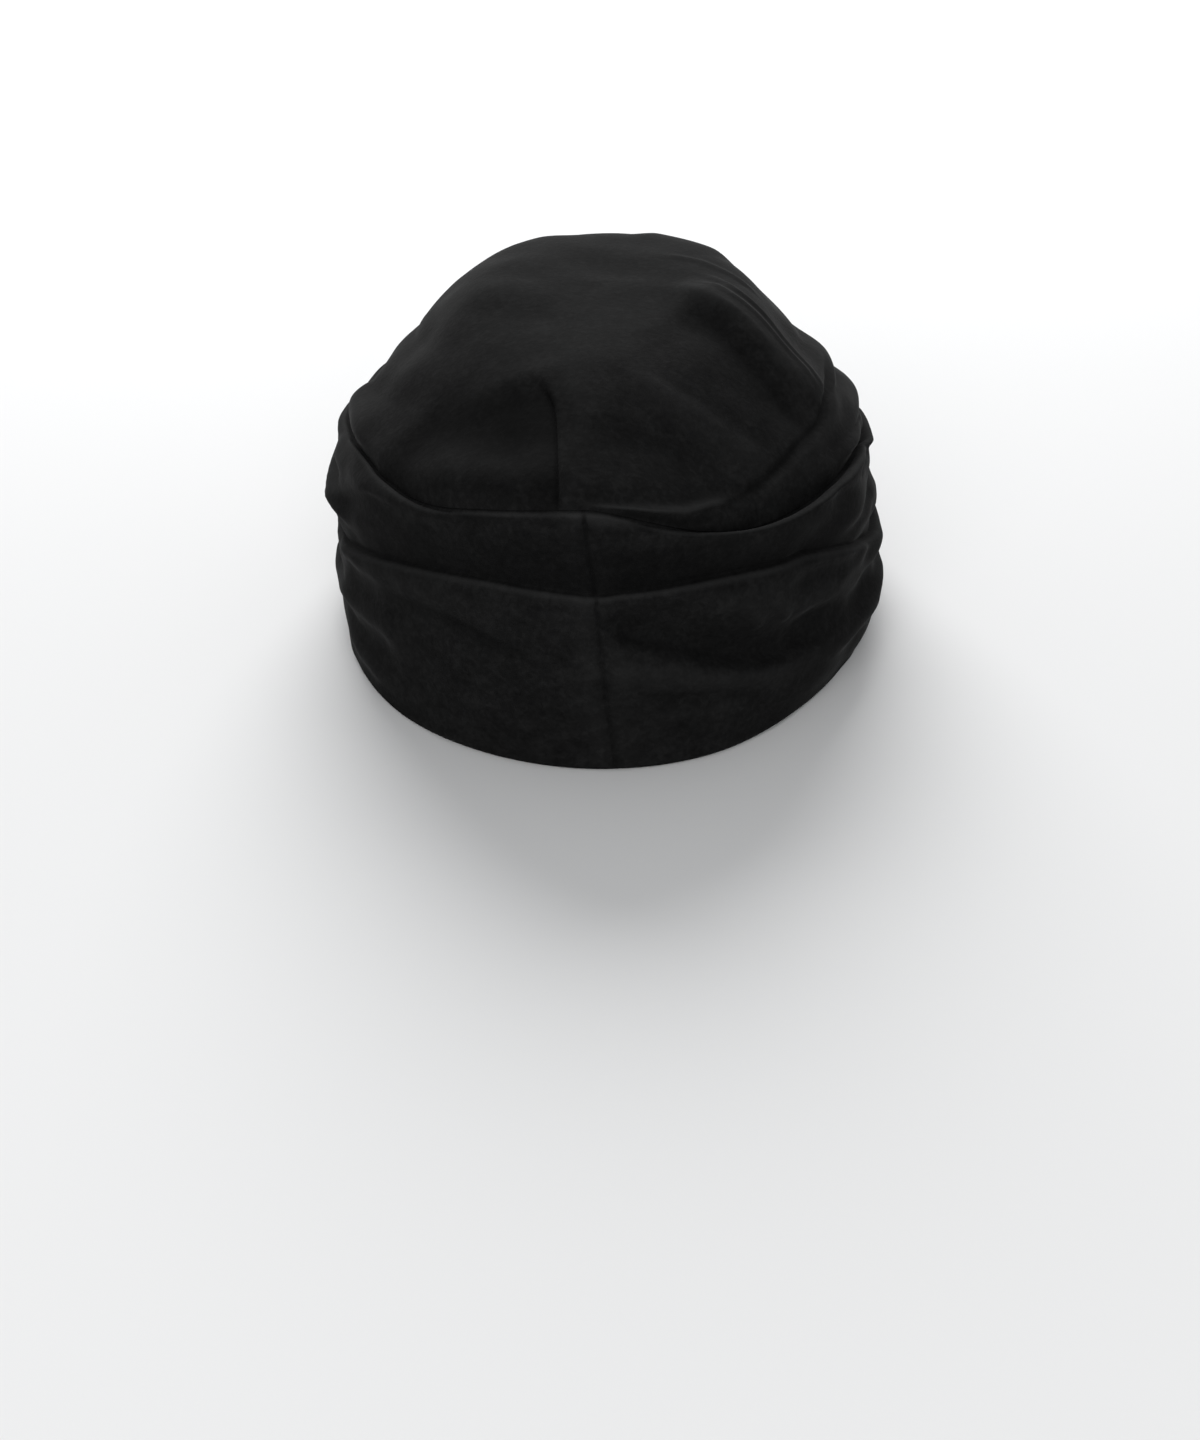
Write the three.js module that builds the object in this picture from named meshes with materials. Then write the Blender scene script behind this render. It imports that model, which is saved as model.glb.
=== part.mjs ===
// A soft black marine cap: a domed crown, a wide band gathered into long tucks, and a short peak.
// Millimetres, +Z up. The back of the cap faces -Y and its peak +Y, and the hem rests on z = 0.
// A place round the cap is its turn, in degrees from the centre back and growing towards +X.

import * as THREE from 'three';

// Driving sizes
const hemHalfWidth = 86;
const hemHalfDepth = 104;
const clothThickness = 1.8;
const hemThickness = 4;
const foldedThickness = 8.5; // the band from a tuck's ridge to its plain inner face
const pieceGap = 0.3;
const crownInset = 0.8; // the crown stands this far in from the cloth of the lip
const crownTop = { x: 3, y: 6, z: 108.2 };
const peakReach = 46;
const peakHalfSpan = 62; // degrees each side of the centre front
const peakThickness = 2.4;
const peakRoundness = 1.15; // above 1 the peak leaves the hem more gently at its ends
const peakSlope = 1.2; // above 1 the peak is slightly arched from root to edge
const frontLift = 12; // the peak holds the front of the hem this far off the table

// How the tucks are rolled
const sharpStep = 2.6; // height of the step above a deep tuck
const softStep = 8; // height of the step above a shallow one
const shallowDepth = 1.5;
const deepDepth = 3.5;
const pocketShare = 1.3; // a deep tuck's pocket drops this many times the tuck's depth
const pocketSpread = 0.8; // as a share of the step
const returnPower = 1.7; // how the cloth comes back out towards the next ridge
const plainDepth = 1; // a tuck shallower than this is passed over more and more

// How the front of the hem is lifted
const liftFrom = 95; // degrees from the centre back
const liftTo = 170;
const liftFade = 45; // height at which the lift has died away

// Number of steps
const turnSteps = 84;
const turnCrowding = 0.45; // the columns stand closer together at the back
const crownSteps = 14;
const crownCrowding = 1.35; // the crown's rows stand closer together at its foot
const crownInnerSteps = 10;
const bandInnerSteps = 5;
const peakTurnSteps = 30;
const peakReachSteps = 6;

// Stations round the cap: every table below that has these columns is read between them by a closed cubic.
const stations = {
  front: -180, left: -90, leftBack: -45, nearLeft: -22, back: 0, nearRight: 22, rightBack: 45, right: 90,
};

// The band's tucks from the hem up: the height of each ridge over the hem, how far the cloth steps in above
// it, and how far below the ridge the cloth starts to turn in. A crisp tuck is folded sharply all round.
const tucks = [
  {
    name: 'hem tuck',
    height: {
      front: 12, left: 8, leftBack: 12, nearLeft: 18,
      back: 18, nearRight: 17, rightBack: 12, right: 7,
    },
    depth: {
      front: 0.6, left: 2, leftBack: 0.6, nearLeft: 0,
      back: 0, nearRight: 0, rightBack: 0.6, right: 1.2,
    },
    roll: 3,
    crisp: false,
  },
  {
    name: 'lower tuck',
    height: {
      front: 22, left: 20, leftBack: 30, nearLeft: 38,
      back: 38, nearRight: 36, rightBack: 30, right: 19,
    },
    depth: {
      front: 1.5, left: 2.5, leftBack: 0.6, nearLeft: 0,
      back: 0, nearRight: 0, rightBack: 0.6, right: 2.5,
    },
    roll: 3,
    crisp: false,
  },
  {
    name: 'main tuck',
    height: {
      front: 34, left: 33, leftBack: 52, nearLeft: 59,
      back: 58.8, nearRight: 60, rightBack: 55, right: 31,
    },
    depth: {
      front: 3, left: 5.6, leftBack: 4.2, nearLeft: 4.6,
      back: 4.8, nearRight: 5, rightBack: 4.6, right: 3.8,
    },
    roll: 2.4,
    crisp: true,
  },
  {
    name: 'upper tuck',
    height: {
      front: 46, left: 48, leftBack: 62, nearLeft: 68,
      back: 70, nearRight: 66, rightBack: 62, right: 46,
    },
    depth: {
      front: 1.5, left: 2.2, leftBack: 0.4, nearLeft: 0,
      back: 0, nearRight: 0, rightBack: 0.4, right: 2.2,
    },
    roll: 3,
    crisp: false,
  },
  {
    name: 'lip', // its height is in the table after this one
    depth: {
      front: 3, left: 3, leftBack: 4.4, nearLeft: 1.4,
      back: 1.2, nearRight: 4.4, rightBack: 4.8, right: 3.4,
    },
    roll: 1.8,
    crisp: true,
  },
];

// The height of the lip round the cap. It falls away just right of the centre back.
const lipLine = [
  { turn: -180, height: 58 },
  { turn: -90, height: 66 },
  { turn: -65, height: 73 },
  { turn: -48, height: 75.2 },
  { turn: -35, height: 76.6 },
  { turn: -20, height: 81.4 },
  { turn: -3, height: 84.4 },
  { turn: 3, height: 81.8 },
  { turn: 10, height: 77.4 },
  { turn: 18, height: 74 },
  { turn: 30, height: 72 },
  { turn: 50, height: 71.6 },
  { turn: 67, height: 69 },
  { turn: 90, height: 61 },
];

// How far the band stands out from the hem's oval, by height over the hem.
const swell = [
  {
    z: 0, front: 0, left: -3, leftBack: 0.8, nearLeft: 0.8,
    back: 1, nearRight: 0.5, rightBack: -2, right: 0,
  },
  {
    z: 22, front: 2, left: 0.5, leftBack: 1.5, nearLeft: 3,
    back: 3, nearRight: 2.5, rightBack: 3.6, right: 5.8,
  },
  {
    z: 45, front: 1, left: 0.2, leftBack: 2, nearLeft: 4,
    back: 5, nearRight: 4, rightBack: 3.5, right: 1.2,
  },
  {
    z: 65, front: -3, left: -3.2, leftBack: 1, nearLeft: 4,
    back: 5, nearRight: 4, rightBack: 2.5, right: -3.4,
  },
  {
    z: 90, front: -12, left: -9, leftBack: -3, nearLeft: 1,
    back: 3, nearRight: 1, rightBack: -3, right: -8.5,
  },
];

// Soft creases across the band: a line through turns and heights, the width of its bell below and above the
// line, and how far it pushes the cloth out. A negative push is a valley.
const mmPerDegree = 1.75; // round the band
const bandCreases = [
  { turns: [-72, -57, -45, -27, -15], heights: [39, 42, 46, 45.4, 41.5], below: 5, above: 9, push: 1 },
  { turns: [-68, -53, -43, -27, -14], heights: [34, 38, 41.5, 40.5, 36], below: 9, above: 5, push: -1.7 },
  { turns: [-74, -56, -48, -34], heights: [21, 24, 25.5, 29.5], below: 5, above: 6, push: 1.1 },
  { turns: [-72, -54, -40], heights: [17, 20, 24], below: 6, above: 5, push: -1.2 },
  { turns: [-46, -57, -68], heights: [72, 65, 57], below: 5, above: 5, push: 1.3 },
  { turns: [34, 46, 54, 70], heights: [37, 35, 35, 36], below: 5, above: 5, push: 1.3 },
  { turns: [40, 50, 57, 72], heights: [32, 32, 31, 28], below: 5, above: 5, push: -1.8 },
];

// Creases that start at the centre back seam and run to its right, with the same columns.
const seamCreases = [
  {
    turns: [-22, -2, 10, 22, 30, 40, 58], heights: [55, 49, 43.5, 36, 31.5, 29, 29],
    below: 7, above: 10, push: -4,
  },
  { turns: [-14, 2, 14, 20, 31, 46], heights: [37, 35, 32, 28.5, 24.5, 23], below: 6, above: 6, push: 1.5 },
];
const seamFade = 18; // mm over which they come in

// The crown's profile from its lower edge to its top, as shares of the way in and of the way up.
const crownProfile = [
  { reach: 1, rise: 0 },
  { reach: 0.985, rise: 0.12 },
  { reach: 0.93, rise: 0.25 },
  { reach: 0.84, rise: 0.41 },
  { reach: 0.72, rise: 0.66 },
  { reach: 0.56, rise: 0.86 },
  { reach: 0.33, rise: 0.965 },
  { reach: 0, rise: 1 },
];

// How much fuller the crown is, by share of the way from its lower edge to its top.
const crownSwell = [
  {
    share: 0, front: 0, left: 0, leftBack: 0, nearLeft: 0,
    back: 0, nearRight: 0, rightBack: 0, right: 0,
  },
  {
    share: 0.2, front: 0, left: 0.5, leftBack: 0, nearLeft: 0,
    back: 0, nearRight: 0, rightBack: 0, right: 3.2,
  },
  {
    share: 0.4, front: 1.5, left: -0.5, leftBack: 0, nearLeft: 0,
    back: 0, nearRight: 0, rightBack: 0, right: 3,
  },
  {
    share: 0.6, front: 5, left: 0.5, leftBack: 0, nearLeft: 0,
    back: 0, nearRight: 0, rightBack: 0, right: 0.5,
  },
  {
    share: 0.8, front: 4, left: 2, leftBack: 0.5, nearLeft: 0,
    back: 0, nearRight: 0, rightBack: 0.5, right: 2,
  },
  {
    share: 1, front: 0, left: 0, leftBack: 0, nearLeft: 0,
    back: 0, nearRight: 0, rightBack: 0, right: 0,
  },
];

// The dome springs from the lip without its dips, which only shape the lowest cloth.
const crownFoot = {
  front: 58, left: 66, leftBack: 75, nearLeft: 81, back: 83.5, nearRight: 74.5, rightBack: 72, right: 61,
};
const footBlend = 0.3; // as a share of the way up
const freeShare = 2 / 13; // below this the cloth is held more and more in the lip's pocket

// Gathers on the crown's flanks, just above the lip, with the same columns as the band's creases.
const flankGathers = [
  { turns: [-112, -85, -58], heights: [74, 77, 78], below: 4, above: 4, push: 1.4 },
  { turns: [60, 88, 116], heights: [72, 71, 68], below: 4, above: 4, push: 1.4 },
  { turns: [62, 87, 112], heights: [83, 82, 80], below: 4, above: 4, push: 1.4 },
];

// Folds on the top of the crown, lines seen from above. The width is on the right and the left of the line.
const crownFolds = [
  {
    name: 'right shoulder', x: [24, 31, 41, 53, 72], y: [8, -4, -15, -22, -26],
    below: 6, above: 9, push: 2.4,
  },
  {
    name: 'right hollow', x: [16, 30, 41, 51, 60], y: [-8, -20, -30, -41, -52],
    below: 14, above: 5, push: -4.2,
  },
  {
    name: 'back right fold', x: [4, 13, 23, 34, 52], y: [-56, -64, -71, -74, -76],
    below: 8, above: 6, push: 1.9,
  },
  {
    name: 'left hollow', x: [-56, -42, -28, -8], y: [-50, -66, -78, -88],
    below: 11, above: 12, push: -3.2,
  },
  {
    name: 'fold over the dart', x: [-6, -14, -26, -40], y: [-48, -55, -60, -56],
    below: 6, above: 6, push: 1.2,
  },
];
const foldFade = 0.25; // a crease or fold fades in over this share of its length at each end

// The dart at the crown's centre back, seen from above: the cloth on its left lies lower, and rises again
// further off.
const dartLine = { y: [-112, -85, -70, -62, -54], x: [-11.5, -13, -15, -19, -25] };
const dart = { drop: 1.6, spread: 24, end: -60, fade: 12 };
const headCentre = new THREE.Vector3(0, 0, 40); // the crown's folds push away from here

function smooth(share) {
  const u = THREE.MathUtils.clamp(share, 0, 1);
  return u * u * (3 - 2 * u);
}

// A cubic through values at rising places, with the slope at each place taken from its neighbours.
function cubicThrough(places, values, place) {
  const last = places.length - 1;
  const p = THREE.MathUtils.clamp(place, places[0], places[last]);
  let i = 0;
  while (i < last - 1 && places[i + 1] <= p) i += 1;
  const span = places[i + 1] - places[i];
  const slope = (j) => {
    const a = Math.max(j - 1, 0);
    const b = Math.min(j + 1, last);
    return (span * (values[b] - values[a])) / (places[b] - places[a]);
  };
  const u = (p - places[i]) / span;
  const v = 1 - u;
  return (
    v * v * (1 + 2 * u) * values[i] + v * v * u * slope(i) +
    u * u * (1 + 2 * v) * values[i + 1] - u * u * v * slope(i + 1)
  );
}

const stationNames = Object.keys(stations);
const stationTurns = stationNames.map((name) => stations[name]);

// A cubic through values at turns round the cap, closed behind the front.
function closedCubic(turns, values, turn) {
  const places = [...turns.slice(-2).map((t) => t - 360), ...turns, ...turns.slice(0, 2).map((t) => t + 360)];
  const closed = [...values.slice(-2), ...values, ...values.slice(0, 2)];
  return cubicThrough(places, closed, THREE.MathUtils.euclideanModulo(turn + 180, 360) - 180);
}

// A table's row read at any turn.
function roundTheCap(row, turn) {
  return closedCubic(stationTurns, stationNames.map((name) => row[name]), turn);
}

function swellAt(turn, z) {
  const heights = swell.map((row) => row.z);
  const outs = swell.map((row) => roundTheCap(row, turn));
  return cubicThrough(heights, outs, z);
}

// The nearest place on a bent line: the share of the way along it, and how far off it is to the left.
function alongLine(x, y, lineX, lineY) {
  const steps = lineX.slice(1).map((toX, i) => Math.hypot(toX - lineX[i], lineY[i + 1] - lineY[i]));
  const whole = steps.reduce((sum, step) => sum + step, 0);
  let before = 0;
  let nearest = Infinity;
  let share = 0;
  let left = 0;
  steps.forEach((step, i) => {
    const wayX = (lineX[i + 1] - lineX[i]) / step;
    const wayY = (lineY[i + 1] - lineY[i]) / step;
    const along = THREE.MathUtils.clamp((x - lineX[i]) * wayX + (y - lineY[i]) * wayY, 0, step);
    const offX = x - lineX[i] - along * wayX;
    const offY = y - lineY[i] - along * wayY;
    const off = Math.hypot(offX, offY);
    if (off < nearest) {
      nearest = off;
      share = (before + along) / whole;
      left = off * Math.sign(wayX * offY - wayY * offX);
    }
    before += step;
  });
  return { share, left };
}

// A crease is a bell across a bent line, with its own width on each side, faded at both ends.
function bellPush(row, x, y, lineX, lineY) {
  const { share, left } = alongLine(x, y, lineX, lineY);
  const width = left > 0 ? row.above : row.below;
  return row.push * smooth(Math.min(share, 1 - share) / foldFade) * Math.exp(-((left / width) ** 2));
}

function creasePush(rows, turn, z) {
  return rows.reduce((sum, row) => {
    const lineX = row.turns.map((t) => t * mmPerDegree);
    return sum + bellPush(row, turn * mmPerDegree, z, lineX, row.heights);
  }, 0);
}

function ridgeAt(tuck, turn) {
  if (tuck.height) return roundTheCap(tuck.height, turn);
  return closedCubic(lipLine.map((row) => row.turn), lipLine.map((row) => row.height), turn);
}

// A tuck at one turn: its ridge, its depth, how sharply it is folded, and the height of the step above it.
function tuckAt(tuck, turn) {
  const depth = Math.max(roundTheCap(tuck.depth, turn), 0);
  const sharpness = tuck.crisp ? 1 : smooth((depth - shallowDepth) / (deepDepth - shallowDepth));
  const step = THREE.MathUtils.lerp(softStep, sharpStep, sharpness);
  return { ridge: ridgeAt(tuck, turn), depth, sharpness, step };
}

// The height by which the cloth has come back out above a tuck: the next ridge up, or the one after it where
// the next tuck has run out.
function returnHeight(index, turn) {
  let height = Infinity;
  for (let i = tucks.length - 1; i > index; i -= 1) {
    const { ridge, depth } = tuckAt(tucks[i], turn);
    const present = i === tucks.length - 1 ? 1 : smooth(depth / plainDepth);
    height = present === 1 ? ridge : THREE.MathUtils.lerp(height, ridge, present);
  }
  return height;
}

// The band's outer face. rest is the height that a point would have with no tucks. Above each ridge the
// cloth steps in by the tuck's depth, drops into a pocket, and comes back out by the next ridge.
function wallAt(turn, rest) {
  const atSeam = smooth((turn * mmPerDegree + 1) / seamFade);
  let out = swellAt(turn, rest) + creasePush(bandCreases, turn, rest);
  out += creasePush(seamCreases, turn, rest) * atSeam;
  let z = rest;
  tucks.forEach((tuck, i) => {
    const { ridge, depth, sharpness, step } = tuckAt(tuck, turn);
    const above = rest - ridge - step;
    const stepIn = smooth((rest - ridge + tuck.roll) / (step + tuck.roll));
    const comeBack = THREE.MathUtils.clamp(above / Math.max(returnHeight(i, turn) - ridge - step, 1), 0, 1);
    out -= depth * stepIn * (1 - comeBack) ** returnPower;
    z -= pocketShare * depth * sharpness * Math.exp(-((above / (pocketSpread * step)) ** 2));
  });
  return { out, z };
}

function liftAt(turn) {
  const fromBack = Math.abs(THREE.MathUtils.euclideanModulo(turn + 180, 360) - 180);
  return frontLift * smooth((fromBack - liftFrom) / (liftTo - liftFrom));
}

// A point by its turn, its distance out from the hem's oval and its height over the hem.
function placeAt(turn, out, z) {
  const angle = THREE.MathUtils.degToRad(turn);
  const lift = liftAt(turn) * Math.max(0, 1 - z / liftFade);
  return new THREE.Vector3(
    (hemHalfWidth + out) * Math.sin(angle),
    -(hemHalfDepth + out) * Math.cos(angle),
    z + lift,
  );
}

// The foot of the pocket behind the lip, where the crown's lower edge is held.
const lip = tucks[tucks.length - 1];
function lipPocket(turn) {
  const { ridge, step } = tuckAt(lip, turn);
  return wallAt(turn, ridge + step);
}

// The heights at which the band's outer face is cut into rows: a few at each tuck and two between tucks.
function restHeights(turn) {
  const rows = [hemThickness / 2];
  const last = tuckAt(lip, turn);
  tucks.forEach((tuck) => {
    const { ridge, step } = tuckAt(tuck, turn);
    const start = ridge - tuck.roll;
    const end = Math.min(ridge + step, last.ridge + last.step);
    const below = rows[rows.length - 1];
    rows.push(THREE.MathUtils.lerp(below, start, 1 / 3), THREE.MathUtils.lerp(below, start, 2 / 3));
    rows.push(start, ridge - tuck.roll / 3, THREE.MathUtils.lerp(ridge, end, 0.4), end);
  });
  return rows.sort((a, b) => a - b);
}

// One closed section of the band: up the outer face, in along the ledge behind the lip, and down the inside.
function bandSection(turn) {
  const hemOut = swellAt(turn, 0) - hemThickness / 4; // the hem's outer corner is rounded in
  const section = [placeAt(turn, hemOut, 0)];
  restHeights(turn).forEach((rest) => {
    const { out, z } = wallAt(turn, rest);
    section.push(placeAt(turn, out, z));
  });
  const ledge = lipPocket(turn).z;
  for (let i = bandInnerSteps; i >= 0; i -= 1) {
    const z = (ledge * i) / bandInnerSteps;
    const thickness = THREE.MathUtils.lerp(hemThickness, foldedThickness, smooth((2 * i) / bandInnerSteps));
    section.push(placeAt(turn, swellAt(turn, z) - thickness, z));
  }
  return section;
}

// How far the folds, the dart and the flank gathers push one point of the crown.
function crownPush(turn, point) {
  let push = creasePush(flankGathers, turn, point.z);
  crownFolds.forEach((fold) => {
    push += bellPush(fold, point.x, point.y, fold.x, fold.y);
  });
  const left = cubicThrough(dartLine.y, dartLine.x, point.y) - point.x;
  if (left > 0) {
    push -= dart.drop * smooth((dart.end - point.y) / dart.fade) * Math.exp(-((left / dart.spread) ** 2));
  }
  return push;
}

// The crown's outer face: share runs from 0 at the lower edge to 1 at the top.
function crownAt(turn, share) {
  const { depth, step } = tuckAt(lip, turn);
  const plainZ = roundTheCap(crownFoot, turn) + step;
  const plain = placeAt(turn, swellAt(turn, plainZ) - depth - crownInset, plainZ - pocketShare * depth);
  const foot = lipPocket(turn);
  const edge = placeAt(turn, foot.out - crownInset, foot.z + pieceGap);
  edge.lerp(plain, smooth(share / footBlend));
  const places = crownProfile.map((row, i) => i / (crownProfile.length - 1));
  const reach = cubicThrough(places, crownProfile.map((row) => row.reach), share);
  const rise = cubicThrough(places, crownProfile.map((row) => row.rise), share);
  const point = new THREE.Vector3(
    THREE.MathUtils.lerp(crownTop.x, edge.x, reach),
    THREE.MathUtils.lerp(crownTop.y, edge.y, reach),
    THREE.MathUtils.lerp(edge.z, crownTop.z, rise),
  );
  const free = smooth(share / freeShare); // the lower edge stays level and square in the pocket
  const outward = point.clone().sub(headCentre);
  outward.setZ(outward.z * free).normalize();
  const fullness = crownSwell.map((row) => roundTheCap(row, turn));
  point.addScaledVector(outward, cubicThrough(crownSwell.map((row) => row.share), fullness, share));
  return { point: point.addScaledVector(outward, crownPush(turn, point) * free), outward };
}

function geometryFrom(points, triangles) {
  const geometry = new THREE.BufferGeometry();
  geometry.setFromPoints(points);
  geometry.setIndex(triangles);
  geometry.computeVertexNormals();
  return geometry;
}

// A closed skin over sections that all have the same number of points. The last section joins the first in
// a ring, and otherwise both ends are closed by strips between their two sides.
function skinOver(sections, ring) {
  const size = sections[0].length;
  const points = sections.flat();
  const triangles = [];
  const joins = ring ? sections.length : sections.length - 1;
  for (let i = 0; i < joins; i += 1) {
    const here = i * size;
    const next = ((i + 1) % sections.length) * size;
    for (let j = 0; j < size; j += 1) {
      const k = (j + 1) % size;
      triangles.push(here + j, next + j, next + k, here + j, next + k, here + k);
    }
  }
  if (!ring) {
    const last = (sections.length - 1) * size;
    for (let j = 0; j < size - 2 - j; j += 1) {
      const across = size - 1 - j;
      triangles.push(j, j + 1, across, last + j + 1, last + j, last + across);
      if (j + 1 < across - 1) {
        triangles.push(j + 1, across - 1, across, last + across - 1, last + j + 1, last + across);
      }
    }
  }
  return geometryFrom(points, triangles);
}

// A closed dome: rings from the outer top down to the lower edge and up the inside, and a point at each pole.
function domeOver(rings, outerPole, innerPole) {
  const size = rings[0].length;
  const points = [...rings.flat(), outerPole, innerPole];
  const outer = rings.length * size;
  const inner = outer + 1;
  const lastRing = (rings.length - 1) * size;
  const triangles = [];
  for (let j = 0; j < size; j += 1) {
    const k = (j + 1) % size;
    triangles.push(outer, j, k, inner, lastRing + k, lastRing + j);
    for (let i = 0; i < rings.length - 1; i += 1) {
      const here = i * size;
      const next = here + size;
      triangles.push(here + j, next + j, next + k, here + j, next + k, here + k);
    }
  }
  return geometryFrom(points, triangles);
}

const turns = Array.from({ length: turnSteps }, (_, i) => {
  const even = -Math.PI + (2 * Math.PI * i) / turnSteps;
  return THREE.MathUtils.radToDeg(even - turnCrowding * Math.sin(even));
});

function bandGeometry() {
  return skinOver(turns.map(bandSection), true);
}

function crownGeometry() {
  const ringAt = (share, inset) => turns.map((turn) => {
    const { point, outward } = crownAt(turn, share);
    return point.addScaledVector(outward, -inset);
  });
  const rings = [];
  for (let i = crownSteps - 1; i >= 0; i -= 1) {
    rings.push(ringAt((i / crownSteps) ** crownCrowding, 0));
  }
  for (let i = 0; i < crownInnerSteps; i += 1) {
    rings.push(ringAt((i / crownInnerSteps) ** crownCrowding, clothThickness));
  }
  const top = crownAt(0, 1);
  const inside = top.point.clone().addScaledVector(top.outward, -clothThickness);
  return domeOver(rings, top.point, inside);
}

// One section of the peak: its root lies under the hem, and its outer edge rests on the table.
function peakSection(offFront) {
  const turn = 180 + offFront;
  const spread = Math.max(Math.cos((Math.PI / 2) * (offFront / peakHalfSpan)), 0);
  const root = placeAt(turn, swellAt(turn, 0) - hemThickness + pieceGap, 0);
  const outward = new THREE.Vector3(root.x / hemHalfWidth ** 2, root.y / hemHalfDepth ** 2, 0).normalize();
  const forward = outward.add(new THREE.Vector3(0, 1, 0)).normalize();
  const length = hemThickness / 2 + peakReach * spread ** peakRoundness;
  const rootTop = root.z - pieceGap;
  const top = [];
  const bottom = [];
  for (let i = 0; i <= peakReachSteps; i += 1) {
    const share = i / peakReachSteps;
    const height = THREE.MathUtils.lerp(rootTop, peakThickness, share ** peakSlope);
    const point = root.clone().addScaledVector(forward, length * share).setZ(height);
    top.push(point);
    bottom.unshift(point.clone().setZ(Math.max(height - peakThickness, 0)));
  }
  const nose = top[peakReachSteps].clone().addScaledVector(forward, peakThickness / 2);
  return [...top, nose.setZ(peakThickness / 2), ...bottom];
}

function peakGeometry() {
  const sections = [];
  for (let i = 0; i <= peakTurnSteps; i += 1) {
    sections.push(peakSection(peakHalfSpan * (1 - (2 * i) / peakTurnSteps)));
  }
  return skinOver(sections, false);
}

function piece(name, geometry) {
  const cloth = new THREE.MeshStandardMaterial({ color: 0x1a1919, roughness: 0.95, metalness: 0 });
  const mesh = new THREE.Mesh(geometry, cloth);
  mesh.name = name;
  return mesh;
}

const pieces = new THREE.Group();
pieces.add(piece('crown', crownGeometry()));
pieces.add(piece('gathered_band', bandGeometry()));
pieces.add(piece('peak', peakGeometry()));

// The origin is the middle of the cap's footprint, on the table.
const footprint = new THREE.Box3().setFromObject(pieces);
const middle = footprint.getCenter(new THREE.Vector3());
pieces.position.set(-middle.x, -middle.y, -footprint.min.z);

const cap = new THREE.Group();
cap.add(pieces);

export default cap;
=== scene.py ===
# Soft black marine cap, seen from behind: domed crown, wide band gathered into tucks, short peak.
# The frame is in metres. Cap sizes below are in millimetres and become metres when a mesh is made.
from math import radians

import bpy
import numpy as np
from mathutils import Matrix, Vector


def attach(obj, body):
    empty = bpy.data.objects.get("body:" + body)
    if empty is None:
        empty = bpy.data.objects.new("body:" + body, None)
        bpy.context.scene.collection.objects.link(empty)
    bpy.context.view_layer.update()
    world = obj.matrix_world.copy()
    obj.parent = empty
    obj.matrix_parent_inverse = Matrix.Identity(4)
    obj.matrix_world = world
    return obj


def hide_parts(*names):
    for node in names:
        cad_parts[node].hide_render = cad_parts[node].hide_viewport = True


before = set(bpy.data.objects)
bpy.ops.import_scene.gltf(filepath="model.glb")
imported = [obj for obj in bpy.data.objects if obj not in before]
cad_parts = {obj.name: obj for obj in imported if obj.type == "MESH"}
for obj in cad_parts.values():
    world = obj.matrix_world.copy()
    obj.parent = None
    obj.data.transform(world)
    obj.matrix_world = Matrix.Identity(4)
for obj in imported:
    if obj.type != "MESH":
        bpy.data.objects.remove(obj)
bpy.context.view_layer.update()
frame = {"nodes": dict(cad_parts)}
scene = bpy.context.scene
print("frame loaded:", ", ".join(frame["nodes"]))

camera = {
    "place": (-0.002934, -0.606348, 0.3183),  # behind the cap and above it
    "pitch": 58,  # degrees up from straight down
    "lens": 50,
    "sensor": 36,  # on the long, upright side of the picture
}


def makeCamera():
    data = bpy.data.cameras.new("camera")
    data.lens = camera["lens"]
    data.sensor_width = camera["sensor"]
    data.clip_start = 0.01
    data.clip_end = 50
    eye = bpy.data.objects.new("camera", data)
    eye.location = camera["place"]
    eye.rotation_euler = (radians(camera["pitch"]), 0, 0)
    scene.collection.objects.link(eye)
    scene.camera = eye


makeCamera()
print("camera placed")

# a turn is in degrees from the centre back, growing towards +X; tables are read between these stations
stations = np.array([-180, -90, -45, -22, 0, 22, 45, 90])  # front, left, ... back ..., right

cap = {
    "hemHalfWidth": 86,
    "hemHalfDepth": 104,
    "hemCentre": (-2.2337, -20.1482),  # the middle of the hem's oval in the frame
    "frontLift": 12,  # the peak holds the front of the hem off the table
    "liftFrom": 95,  # turns between which it rises
    "liftTo": 170,
    "liftFade": 45,  # the height by which nothing is left of it
    "headCentre": (0, 0, 40),  # folds of the crown push away from here
    "turnSteps": 660,
    "backCrowding": 0.45,  # how much closer together the columns stand at the back
    "creaseFade": 0.25,  # the share of a crease's length over which it fades at each end
}
mm = 0.001

gather = {
    "turn": 92,  # degrees from the centre back to where the gathers are tightest
    "spread": 22,
    "fold": 11.5,  # mm from nick to nick
    "height": 2.3,
    "sunk": 0.6,  # the share of that height that lies below the plain cloth
    "leftSlant": 0.16,  # mm down for each degree away from the centre back
    "rightSlant": 0.2,
    "wander": 0.9,  # the folds wander up and down as the height and the turn change
    "wanderHeight": 17,
    "wanderTurn": 31,
}

slack = {
    "waves": 5,  # for each wave length
    "leaning": (0.55, 0.55, 1.0),  # flattens the waves, so that they run round the cap
    "calming": 1.6,  # for how far the waves even each other out
}


# 0 below nought, 1 above one, and 3u^2 - 2u^3 between
def smooth(share):
    u = np.clip(share, 0, 1)
    return u * u * (3 - 2 * u)


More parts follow.
